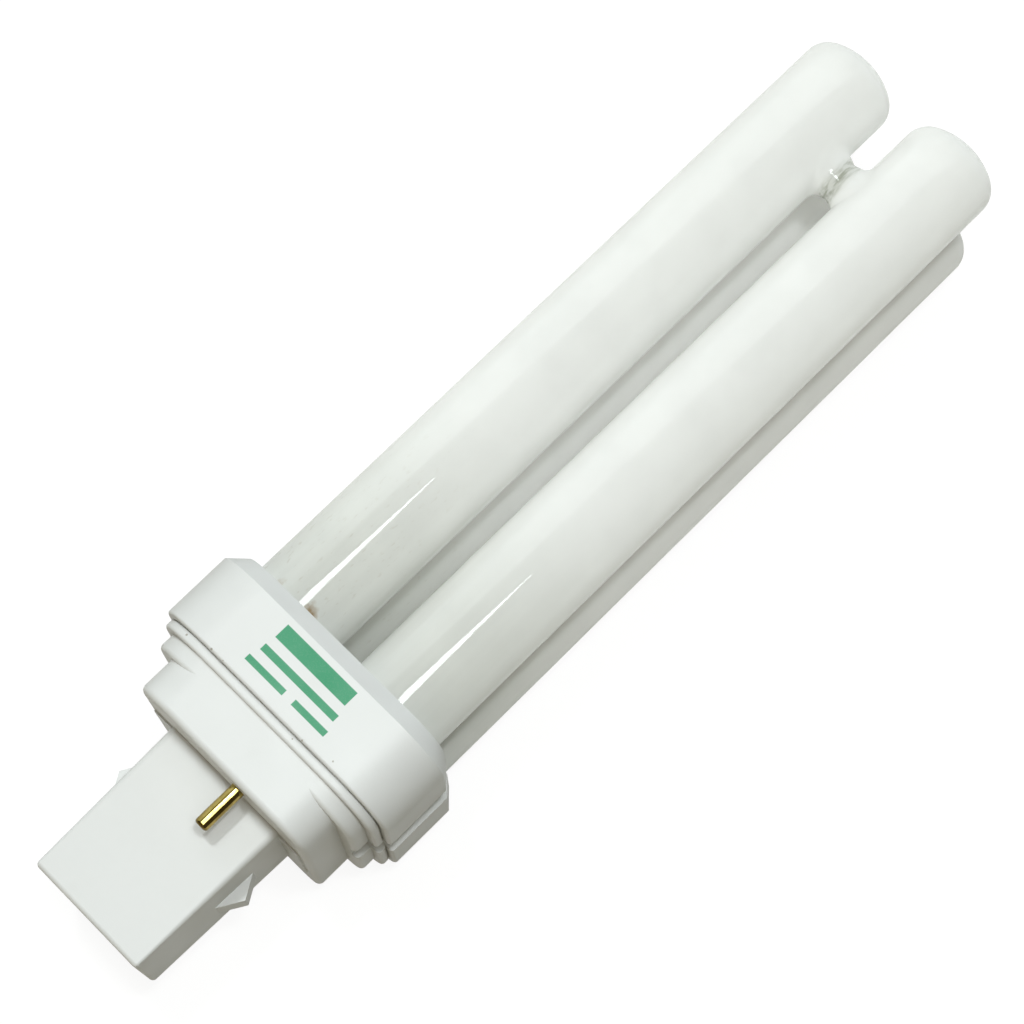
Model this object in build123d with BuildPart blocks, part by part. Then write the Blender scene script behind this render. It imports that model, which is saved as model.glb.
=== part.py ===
from build123d import *
import math
import os

# A plug-in compact fluorescent lamp with two contact pins and four tube limbs, lying on its back.
# +X runs along the lamp from the plug to the tube ends, +Z is up, +Y is the lamp's left side.
# All sizes are millimetres.

LAMP_LENGTH = 170.9

# Discharge tube
LIMB_DIAMETER = 16.0
LIMB_PITCH_ACROSS = 20.1
LIMB_PITCH_DEEP = 23.0
LIMB_SEATED = 10.0
LIMB_CROWN_RADIUS = 12.0
LIMB_END_ROUNDING = 3.2
FRONT_LEFT_SHORT = 0.5
REAR_LEFT_SHORT = 3.4
REAR_RIGHT_SHORT = 0.4
BRIDGE_DIAMETER = 7.1
BRIDGE_FLARE = 1.9
TOP_BRIDGE_BELOW_END = 16.9
LOW_BRIDGE_ABOVE_COLLAR = 10.0

# Collar that holds the limbs
COLLAR_WIDTH = 44.5
COLLAR_DEPTH = 44.5
COLLAR_CORNER = 9.0
COLLAR_HEIGHT = 13.7
COLLAR_CHAMFER = 2.5
COLLAR_TOP_WALL = 2.4
COLLAR_WALL = 1.6
COLLAR_JOINT_EDGE = 0.5
SLEEVE_WALL = 1.2
SLEEVE_LENGTH = 6.0
LIMB_CLEARANCE = 0.1

# Keyways down both sides of the collar and the key
KEYWAY_WIDTH = 6.0
KEYWAY_SPAN = 36.6

# Base cap: bead, key, body and the rim that locates the collar
BEAD_WIDTH = 42.2
BEAD_DEPTH = 43.2
BEAD_CORNER = 8.6
BEAD_HEIGHT = 1.6
BEAD_EDGE = 0.55
KEY_WIDTH = 39.0
KEY_DEPTH = 41.9
KEY_CORNER = 8.2
KEY_HEIGHT = 2.7
KEY_EDGE = 0.8
BODY_WIDTH = 32.9
BODY_DEPTH = 42.0
BODY_CORNER = 6.0
BODY_HEIGHT = 6.0
BODY_EDGE = 1.0
CAP_WALL = 1.5
FLOOR_WALL = 1.6
RIM_HEIGHT = 2.0
RIM_CLEARANCE = 0.15

# Plug with its latch lugs
PLUG_WIDTH = 21.8
PLUG_DEPTH = 19.9
PLUG_LENGTH = 27.0
PLUG_DRAFT = 1.3
PLUG_CORNER = 1.0
PLUG_END_EDGE = 0.7
PLUG_END_WALL = 1.5
LUG_LENGTH = 7.4
LUG_RISE = 2.2
LUG_WIDTH = 4.9
LUG_FROM_END = 17.4
LUG_SIDE_SHIFT = 1.55
LUG_ROOT = 1.0
PAD_LENGTH = 16.4
PAD_MARGIN = 0.7
PAD_RISE = 0.3

# Contact pins
PIN_DIAMETER = 2.3
PIN_EXPOSED = 7.3
PIN_SPACING = 32.0
PIN_SIDE_SHIFT = 3.5
PIN_TIP_EDGE = 0.5
PIN_SEAT_DIAMETER = 2.8
PIN_HEAD_DIAMETER = 3.8
PIN_HEAD_HEIGHT = 0.8
PIN_CLEARANCE = 0.05

# Starter and wiring inside the plug
BOTTLE_DIAMETER = 7.2
BOTTLE_LENGTH = 14.5
BOTTLE_ROUNDING = 2.4
BOTTLE_SHOULDER = 2.4
BOTTLE_STEM_DIAMETER = 3.2
BOTTLE_STEM_LENGTH = 3.5
BOTTLE_SIDE = 4.3
CAPACITOR_LENGTH = 10.0
CAPACITOR_WIDTH = 6.0
CAPACITOR_DEPTH = 9.0
CAPACITOR_EDGE = 0.8
CAPACITOR_SIDE = 4.3
CAPACITOR_LEG_DIAMETER = 0.5
CAPACITOR_LEG_PITCH = 5.0
LEG_REACH = 12.0
LEAD_DIAMETER = 0.6
LEAD_PITCH = 3.0
LEAD_BEND = 1.2
STEM_LEAD_PITCH = 1.6
LEAD_DROP = 6.0
SEAT_GAP = 0.1

# Stations along the lamp, worked out from its length and the heights above
X_PLUG_END = -LAMP_LENGTH / 2
X_FLOOR = X_PLUG_END + PLUG_LENGTH
X_KEY = X_FLOOR + BODY_HEIGHT
X_BEAD = X_KEY + KEY_HEIGHT
X_JOINT = X_BEAD + BEAD_HEIGHT
X_COLLAR_TOP = X_JOINT + COLLAR_HEIGHT
X_LIMB_END = X_PLUG_END + LAMP_LENGTH
X_LIMB_FOOT = X_COLLAR_TOP - LIMB_SEATED
AXIS_HEIGHT = COLLAR_DEPTH / 2

LIMB_RADIUS = LIMB_DIAMETER / 2
LIMB_Y = LIMB_PITCH_ACROSS / 2
LIMB_Z = LIMB_PITCH_DEEP / 2
PIN_RISE = ((PIN_SPACING / 2) ** 2 - PIN_SIDE_SHIFT**2) ** 0.5


def station(x):
    """Plane across the lamp at x, centred on its axis, facing the tube ends."""
    return Plane(origin=(x, 0, AXIS_HEIGHT), x_dir=(0, 1, 0), z_dir=(1, 0, 0))


def plugward(x):
    """Plane across the lamp at x, centred on its axis, facing the plug's end."""
    return Plane(origin=(x, 0, AXIS_HEIGHT), x_dir=(0, -1, 0), z_dir=(-1, 0, 0))


def along(x, y, z):
    """Plane through the lamp's length at a point given from the lamp's axis."""
    return Plane(origin=(x, y, AXIS_HEIGHT + z), x_dir=(1, 0, 0), z_dir=(0, 0, 1))


def place(x, y, z):
    """Point given from the lamp's axis."""
    return Vector(x, y, AXIS_HEIGHT + z)


# Discharge tube: four domed limbs, a bridge across each pair and one low bridge from front to rear
with BuildPart() as discharge_tube:
    crown_half = math.degrees(math.asin(LIMB_RADIUS / LIMB_CROWN_RADIUS))
    limbs = (
        (LIMB_Y, LIMB_Z, FRONT_LEFT_SHORT),
        (-LIMB_Y, LIMB_Z, 0),
        (LIMB_Y, -LIMB_Z, REAR_LEFT_SHORT),
        (-LIMB_Y, -LIMB_Z, REAR_RIGHT_SHORT),
    )
    for limb_y, limb_z, short in limbs:
        limb_length = X_LIMB_END - short - X_LIMB_FOOT
        with BuildSketch(along(X_LIMB_FOOT, limb_y, limb_z)):
            with BuildLine():
                foot = CenterArc((LIMB_CROWN_RADIUS, 0), LIMB_CROWN_RADIUS, 180 - crown_half, crown_half)
                tip = CenterArc((limb_length - LIMB_CROWN_RADIUS, 0), LIMB_CROWN_RADIUS, 0, crown_half)
                Line(foot @ 0, tip @ 1)
                Line(tip @ 0, foot @ 1)
            make_face()
            fillet(vertices().group_by(Axis.Y)[-1], LIMB_END_ROUNDING)
        revolve(axis=Axis(place(X_LIMB_FOOT, limb_y, limb_z), (1, 0, 0)))

    # Bridges run between limb axes, so their ends are buried in the limbs
    x_top_bridge = X_LIMB_END - TOP_BRIDGE_BELOW_END
    x_low_bridge = X_COLLAR_TOP + LOW_BRIDGE_ABOVE_COLLAR
    for bridge_z in (LIMB_Z, -LIMB_Z):
        with BuildSketch(Plane(origin=place(x_top_bridge, -LIMB_Y, bridge_z), z_dir=(0, 1, 0))):
            Circle(BRIDGE_DIAMETER / 2)
        extrude(amount=LIMB_PITCH_ACROSS)
    with BuildSketch(Plane(origin=place(x_low_bridge, LIMB_Y, -LIMB_Z), z_dir=(0, 0, 1))):
        Circle(BRIDGE_DIAMETER / 2)
    extrude(amount=LIMB_PITCH_DEEP)

    # Fused joints flare where a bridge meets a limb
    def at_bridge(edge):
        spot = edge.center()
        near = min(abs(spot.X - x_top_bridge), abs(spot.X - x_low_bridge))
        return near < BRIDGE_DIAMETER / 2 and edge.geom_type not in (GeomType.LINE, GeomType.CIRCLE)

    fillet(discharge_tube.edges().filter_by(at_bridge), BRIDGE_FLARE)
discharge_tube.part.label = "discharge_tube"

# Collar: a rounded square cup, open towards the cap, with a sleeve for each limb
with BuildPart() as tube_collar:
    with BuildSketch(station(X_JOINT)):
        RectangleRounded(COLLAR_WIDTH, COLLAR_DEPTH, COLLAR_CORNER)
    extrude(amount=COLLAR_HEIGHT)
    chamfer(faces().sort_by(Axis.X)[-1].edges(), COLLAR_CHAMFER)
    fillet(faces().sort_by(Axis.X)[0].edges(), COLLAR_JOINT_EDGE)
    keyway_cut = COLLAR_WIDTH - KEYWAY_SPAN
    with BuildSketch(station(X_JOINT)):
        with GridLocations(KEYWAY_SPAN + keyway_cut, 0, 2, 1):
            Rectangle(keyway_cut, KEYWAY_WIDTH)
    extrude(amount=COLLAR_HEIGHT, mode=Mode.SUBTRACT)
    with BuildSketch(station(X_JOINT)):
        RectangleRounded(
            COLLAR_WIDTH - 2 * COLLAR_WALL, COLLAR_DEPTH - 2 * COLLAR_WALL, COLLAR_CORNER - COLLAR_WALL
        )
        with GridLocations(KEYWAY_SPAN - 2 * COLLAR_WALL + keyway_cut, 0, 2, 1):
            Rectangle(keyway_cut, KEYWAY_WIDTH + 2 * COLLAR_WALL, mode=Mode.SUBTRACT)
    extrude(amount=COLLAR_HEIGHT - COLLAR_TOP_WALL, mode=Mode.SUBTRACT)
    sleeve_start = X_COLLAR_TOP - COLLAR_TOP_WALL - SLEEVE_LENGTH
    with BuildSketch(station(sleeve_start)):
        with GridLocations(LIMB_PITCH_ACROSS, LIMB_PITCH_DEEP, 2, 2):
            Circle(LIMB_RADIUS + LIMB_CLEARANCE + SLEEVE_WALL)
    extrude(amount=SLEEVE_LENGTH)
    with BuildSketch(station(sleeve_start)):
        with GridLocations(LIMB_PITCH_ACROSS, LIMB_PITCH_DEEP, 2, 2):
            Circle(LIMB_RADIUS + LIMB_CLEARANCE)
    extrude(amount=SLEEVE_LENGTH + COLLAR_TOP_WALL, mode=Mode.SUBTRACT)
tube_collar.part.label = "tube_collar"

# Bead and key, rounded before they join the cap
with BuildPart() as bead:
    with BuildSketch(station(X_BEAD)):
        RectangleRounded(BEAD_WIDTH, BEAD_DEPTH, BEAD_CORNER)
    extrude(amount=BEAD_HEIGHT)
    fillet(faces().sort_by(Axis.X)[0].edges() + faces().sort_by(Axis.X)[-1].edges(), BEAD_EDGE)

with BuildPart() as key:
    with BuildSketch(station(X_KEY)):
        RectangleRounded(KEY_WIDTH, KEY_DEPTH, KEY_CORNER)
    extrude(amount=KEY_HEIGHT)
    fillet(faces().sort_by(Axis.X)[0].edges(), KEY_EDGE)

# Plug: tapered box with a latch lug on each side, the two lugs shifted opposite ways
with BuildPart() as plug:
    with BuildSketch(plugward(X_FLOOR)):
        RectangleRounded(PLUG_WIDTH, PLUG_DEPTH, PLUG_CORNER)
    extrude(amount=PLUG_LENGTH, taper=PLUG_DRAFT)
    fillet(faces().sort_by(Axis.X)[0].edges(), PLUG_END_EDGE)
    x_lug = X_PLUG_END + LUG_FROM_END
    lug_side = PLUG_WIDTH / 2 - (X_FLOOR - x_lug) * math.tan(math.radians(PLUG_DRAFT))
    for side in (1, -1):
        with BuildSketch(along(x_lug, 0, side * LUG_SIDE_SHIFT)):
            with BuildLine():
                Polyline(
                    (-LUG_LENGTH / 2, side * lug_side),
                    (0, side * (lug_side + LUG_RISE)),
                    (LUG_LENGTH / 2, side * lug_side),
                    (LUG_LENGTH / 2, side * (lug_side - LUG_ROOT)),
                    (-LUG_LENGTH / 2, side * (lug_side - LUG_ROOT)),
                    close=True,
                )
            make_face()
        extrude(amount=LUG_WIDTH / 2, both=True)

# Base cap: body, key, bead and plug in one moulding, hollow, with a rim that enters the collar
with BuildPart() as base_cap:
    with BuildSketch(station(X_FLOOR)):
        RectangleRounded(BODY_WIDTH, BODY_DEPTH, BODY_CORNER)
    extrude(amount=X_JOINT - X_FLOOR)
    fillet(faces().sort_by(Axis.X)[0].edges(), BODY_EDGE)
    add(key.part)
    add(bead.part)
    with BuildSketch(station(X_KEY)):
        with GridLocations(KEYWAY_SPAN + keyway_cut, 0, 2, 1):
            Rectangle(keyway_cut, KEYWAY_WIDTH)
    extrude(amount=X_JOINT - X_KEY, mode=Mode.SUBTRACT)
    with BuildSketch(plugward(X_FLOOR)):
        Rectangle(BODY_WIDTH - 2 * (BODY_EDGE + PAD_MARGIN), PAD_LENGTH)
    extrude(amount=PAD_RISE)
    add(plug.part)
    rim_width = KEYWAY_SPAN - 2 * (COLLAR_WALL + RIM_CLEARANCE)
    rim_depth = COLLAR_DEPTH - 2 * (COLLAR_WALL + RIM_CLEARANCE)
    with BuildSketch(station(X_JOINT)):
        RectangleRounded(rim_width, rim_depth, BODY_CORNER)
    extrude(amount=RIM_HEIGHT)
    with BuildSketch(station(X_FLOOR + FLOOR_WALL)):
        RectangleRounded(BODY_WIDTH - 2 * CAP_WALL, BODY_DEPTH - 2 * CAP_WALL, BODY_CORNER - CAP_WALL)
    extrude(amount=X_JOINT + RIM_HEIGHT - X_FLOOR - FLOOR_WALL, mode=Mode.SUBTRACT)
    with BuildSketch(plugward(X_FLOOR)):
        Rectangle(PLUG_WIDTH - 2 * CAP_WALL, PLUG_DEPTH - 2 * CAP_WALL)
    extrude(amount=PLUG_LENGTH - PLUG_END_WALL, taper=PLUG_DRAFT, mode=Mode.SUBTRACT)
    with BuildSketch(station(X_FLOOR)):
        Rectangle(PLUG_WIDTH - 2 * CAP_WALL, PLUG_DEPTH - 2 * CAP_WALL)
    extrude(amount=FLOOR_WALL, mode=Mode.SUBTRACT)
    with BuildSketch(station(X_FLOOR)):
        with Locations((-PIN_SIDE_SHIFT, PIN_RISE), (PIN_SIDE_SHIFT, -PIN_RISE)):
            Circle(PIN_SEAT_DIAMETER / 2 + PIN_CLEARANCE)
    extrude(amount=FLOOR_WALL, mode=Mode.SUBTRACT)
base_cap.part.label = "base_cap"


def contact_pin(name, y, z):
    """Turned pin with a thicker seat in the cap's floor and a head inside the cap."""
    x_tip = X_FLOOR - PIN_EXPOSED
    x_head = X_FLOOR + FLOOR_WALL
    turned = (
        (x_tip, PIN_EXPOSED, PIN_DIAMETER),
        (X_FLOOR, FLOOR_WALL, PIN_SEAT_DIAMETER),
        (x_head, PIN_HEAD_HEIGHT, PIN_HEAD_DIAMETER),
    )
    with BuildPart() as pin:
        for x_start, length, diameter in turned:
            with BuildSketch(Plane(origin=place(x_start, y, z), x_dir=(0, 1, 0), z_dir=(1, 0, 0))):
                Circle(diameter / 2)
            extrude(amount=length)
        fillet(faces().sort_by(Axis.X)[0].edges(), PIN_TIP_EDGE)
    pin.part.label = name
    return pin


# Glow starter: a small glass bottle whose dome stands on the plug's end wall
x_starter = X_PLUG_END + PLUG_END_WALL + SEAT_GAP
with BuildPart() as starter_bottle:
    bottle_radius = BOTTLE_DIAMETER / 2
    stem_radius = BOTTLE_STEM_DIAMETER / 2
    with BuildSketch(along(x_starter, BOTTLE_SIDE, 0)):
        with BuildLine():
            Polyline(
                (0, 0),
                (0, bottle_radius),
                (BOTTLE_LENGTH - BOTTLE_SHOULDER, bottle_radius),
                (BOTTLE_LENGTH, stem_radius),
                (BOTTLE_LENGTH + BOTTLE_STEM_LENGTH, stem_radius),
                (BOTTLE_LENGTH + BOTTLE_STEM_LENGTH, 0),
                close=True,
            )
        make_face()
        fillet(vertices().group_by(Axis.Y)[-1].sort_by(Axis.X)[0], BOTTLE_ROUNDING)
    revolve(axis=Axis(place(x_starter, BOTTLE_SIDE, 0), (1, 0, 0)))
starter_bottle.part.label = "starter_bottle"

# Suppression capacitor beside the bottle, its legs bent over to the starter's wires
x_leg_bend = x_starter + CAPACITOR_LENGTH + LEG_REACH
leg_end_y = BOTTLE_SIDE - LEAD_DIAMETER / 2 - SEAT_GAP
with BuildPart() as starter_capacitor:
    with BuildSketch(Plane(origin=place(x_starter, -CAPACITOR_SIDE, 0), x_dir=(0, 1, 0), z_dir=(1, 0, 0))):
        Rectangle(CAPACITOR_WIDTH, CAPACITOR_DEPTH)
    extrude(amount=CAPACITOR_LENGTH)
    fillet(edges(), CAPACITOR_EDGE)
    for side in (1, -1):
        leg_start = place(x_starter + CAPACITOR_LENGTH / 2, -CAPACITOR_SIDE, side * CAPACITOR_LEG_PITCH / 2)
        with BuildLine() as leg:
            FilletPolyline(
                leg_start,
                place(x_leg_bend, -CAPACITOR_SIDE, side * CAPACITOR_LEG_PITCH / 2),
                place(x_leg_bend, leg_end_y, side * STEM_LEAD_PITCH / 2),
                radius=LEAD_BEND,
            )
        with BuildSketch(Plane(origin=leg_start, z_dir=(1, 0, 0))):
            Circle(CAPACITOR_LEG_DIAMETER / 2)
        sweep(path=leg.line)
starter_capacitor.part.label = "starter_capacitor"


def lead_wire(name, points):
    """Round wire bent through the given points."""
    with BuildPart() as wire:
        with BuildLine() as route:
            FilletPolyline(*points, radius=LEAD_BEND)
        with BuildSketch(Plane(origin=route.line @ 0, z_dir=route.line % 0)):
            Circle(LEAD_DIAMETER / 2)
        sweep(path=route.line)
    wire.part.label = name
    return wire


# Pins and wires, once for the front half of the lamp and once for the rear half
x_lead_start = X_LIMB_FOOT - SEAT_GAP
x_lead_turn = x_lead_start - LEAD_DROP
x_pin_head = X_FLOOR + FLOOR_WALL + PIN_HEAD_HEIGHT
x_stem_top = x_starter + BOTTLE_LENGTH + BOTTLE_STEM_LENGTH
pieces = [discharge_tube, tube_collar, base_cap, starter_bottle, starter_capacitor]
for half, side in (("front", 1), ("rear", -1)):
    pin_y = -side * PIN_SIDE_SHIFT
    pin_z = side * PIN_RISE
    pieces.append(contact_pin(f"contact_pin_{half}", pin_y, pin_z))
    pin_lead_y = -LIMB_Y + LEAD_PITCH / 2
    pieces.append(
        lead_wire(
            f"pin_lead_{half}",
            [
                place(x_lead_start, pin_lead_y, side * LIMB_Z),
                place(x_lead_turn, pin_lead_y, side * LIMB_Z),
                place((x_lead_turn + x_pin_head) / 2, pin_y, pin_z),
                place(x_pin_head + SEAT_GAP, pin_y, pin_z),
            ],
        )
    )
    starter_lead_y = -LIMB_Y - LEAD_PITCH / 2
    stem_z = side * STEM_LEAD_PITCH / 2
    pieces.append(
        lead_wire(
            f"starter_lead_{half}",
            [
                place(x_lead_start, starter_lead_y, side * LIMB_Z),
                place(x_lead_turn, starter_lead_y, side * LIMB_Z),
                place(x_pin_head, BOTTLE_SIDE, stem_z),
                place(x_stem_top + SEAT_GAP, BOTTLE_SIDE, stem_z),
            ],
        )
    )

os.makedirs("parts", exist_ok=True)
for piece in pieces:
    export_step(piece.part, f"parts/{piece.part.label}.step")
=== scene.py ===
"""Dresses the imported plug-in fluorescent lamp and sets it up for its picture.

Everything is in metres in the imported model's frame: +X runs along the lamp from the plug to the tube
ends, +Y is the lamp's left side and +Z is up. Lengths kept in fields are in millimetres.
"""

import logging
import math
from dataclasses import dataclass
from enum import Enum
from typing import Any

import bmesh
import bpy
from mathutils import Matrix, Vector

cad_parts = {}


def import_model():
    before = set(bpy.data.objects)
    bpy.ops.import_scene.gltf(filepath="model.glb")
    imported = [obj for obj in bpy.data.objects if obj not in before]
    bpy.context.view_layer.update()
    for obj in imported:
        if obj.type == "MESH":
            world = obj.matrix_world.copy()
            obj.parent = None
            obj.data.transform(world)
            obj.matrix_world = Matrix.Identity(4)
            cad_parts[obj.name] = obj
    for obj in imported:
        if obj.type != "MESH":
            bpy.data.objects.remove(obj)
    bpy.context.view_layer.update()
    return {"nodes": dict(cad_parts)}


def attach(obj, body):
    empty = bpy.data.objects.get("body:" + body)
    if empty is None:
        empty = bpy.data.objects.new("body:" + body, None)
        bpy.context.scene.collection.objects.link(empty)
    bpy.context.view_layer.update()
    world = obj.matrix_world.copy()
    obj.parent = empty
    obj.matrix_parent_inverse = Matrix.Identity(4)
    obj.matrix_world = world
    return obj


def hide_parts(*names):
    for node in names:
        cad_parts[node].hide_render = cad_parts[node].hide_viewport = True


Piece = bpy.types.Object
Material = bpy.types.Material
Tree = bpy.types.NodeTree
Node = bpy.types.Node
Socket = bpy.types.NodeSocket
Axes = bpy.types.NodeOutputs
Shape = bmesh.types.BMesh
Vert = bmesh.types.BMVert
Inputs = dict[str | int, Any]
Span = tuple[float, float]
Place = tuple[float, float, float]

MM = 0.001
BODY = "root"
FROM_WELD = "from_weld"
WHITE = (1, 1, 1, 1)
# Nearly all of a noise pattern lies between these two values
NOISE = {"From Min": 0.3, "From Max": 0.7}
# A ramp that falls from all to nothing
FALLING = {"To Min": 1.0, "To Max": 0.0}
PLAIN_SPECULAR = 0.5
# Vertices closer than these, in metres, are one: at a limb's seam, at a weld and on a cut
SEAM_GAP, WELD_GAP, CUT_GAP = 1e-6, 5e-6, 1e-7
log = logging.getLogger("lamp")


class Run(Enum):
    """Which way a bridge runs between two limbs."""

    ACROSS = Vector((0, 1, 0))
    DEEP = Vector((0, 0, 1))


def linear(code: str) -> tuple[float, float, float, float]:
    """Turns an sRGB hex colour into linear light.

    Args:
        code: Colour as "#RRGGBB".

    Returns:
        Linear red, green, blue and an alpha of 1.
    """
    channels = [int(code[i : i + 2], 16) / 255 for i in (1, 3, 5)]
    low, high = 12.92, 1.055
    red, green, blue = (c / low if c <= 0.04045 else ((c + 0.055) / high) ** 2.4 for c in channels)
    return red, green, blue, 1.0


def per_metre(size_mm: float) -> float:
    """Returns the texture scale whose features are about size_mm across."""
    return 1 / (size_mm * MM)


def add_node(tree: Tree, kind: str, inputs: Inputs | None = None, **settings: Any) -> Node:
    """Adds a node, sets its properties, and fills or links its inputs.

    Args:
        tree: Tree that takes the node.
        kind: Blender's name for the node's class.
        inputs: Input name or number, to the output that feeds it or to a constant.
        **settings: Properties of the node itself.

    Returns:
        The new node.
    """
    node = tree.nodes.new(kind)
    for name, value in settings.items():
        setattr(node, name, value)
    for key, value in (inputs or {}).items():
        if isinstance(value, Socket):
            tree.links.new(value, node.inputs[key])
        else:
            node.inputs[key].default_value = value
    return node


def empty_tree(owner: Material | bpy.types.World) -> Tree:
    """Gives a new material or world an empty node tree.

    Args:
        owner: The material or world.

    Returns:
        Its tree.
    """
    owner.use_nodes = True
    owner.node_tree.nodes.clear()
    return owner.node_tree


def add_object(name: str, data: bpy.types.ID) -> Piece:
    """Adds an object to the scene.

    Args:
        name: Name of the object.
        data: Its mesh, light or camera.

    Returns:
        The new object.
    """
    made = bpy.data.objects.new(name, data)
    bpy.context.scene.collection.objects.link(made)
    return made


def add_shape(name: str, shape: Shape) -> Piece:
    """Adds an object with a finished shape to the scene.

    Args:
        name: Name of the object.
        shape: Its mesh, in place; it is freed here.

    Returns:
        The new object.
    """
    mesh = bpy.data.meshes.new(name)
    shape.to_mesh(mesh)
    shape.free()
    return add_object(name, mesh)


def dress(piece: Piece, material: Material) -> None:
    """Puts one material on every slot of a piece.

    Args:
        piece: Object to dress.
        material: Material that it gets.
    """
    if not piece.material_slots:
        piece.data.materials.append(material)
    for place in piece.material_slots:
        place.material = material


def add_piece(name: str, shape: Shape, material: Material) -> Piece:
    """Makes a smooth-shaded object of a finished shape and lets it ride on the lamp.

    Args:
        name: Name of the piece.
        shape: Its mesh, in place; it is freed here.
        material: Its material.

    Returns:
        The new object.
    """
    for face in shape.faces:
        face.smooth = True
    piece = add_shape(name, shape)
    dress(piece, material)
    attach(piece, BODY)
    return piece


@dataclass(frozen=True)
class Finish:
    """A surface finish; each kind says what its shader is fed with."""

    name: str

    def material(self) -> Material:
        """Returns a new node material with this finish."""
        made = bpy.data.materials.new(self.name)
        tree = empty_tree(made)
        where = add_node(tree, "ShaderNodeTexCoord").outputs["Object"]
        shader = add_node(tree, "ShaderNodeBsdfPrincipled", self.paint(tree, where))
        add_node(tree, "ShaderNodeOutputMaterial", {"Surface": self.surface(tree, shader)})
        return made

    def surface(self, tree: Tree, shader: Node) -> Socket:
        """Returns what the material shows, which is its painted shader."""
        return shader.outputs["BSDF"]

    def paint(self, tree: Tree, where: Socket) -> Inputs:
        """Draws the finish's patterns.

        Args:
            tree: Tree of the material.
            where: Place on the piece.

        Returns:
            What each input of the Principled shader gets.
        """
        raise NotImplementedError


@dataclass(frozen=True)
class Burn:
    """A brown mark at a limb's foot, across the lamp: where it starts, is full, fades and ends."""

    start: float
    full: float
    fades: float
    end: float
    strength: float


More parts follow.
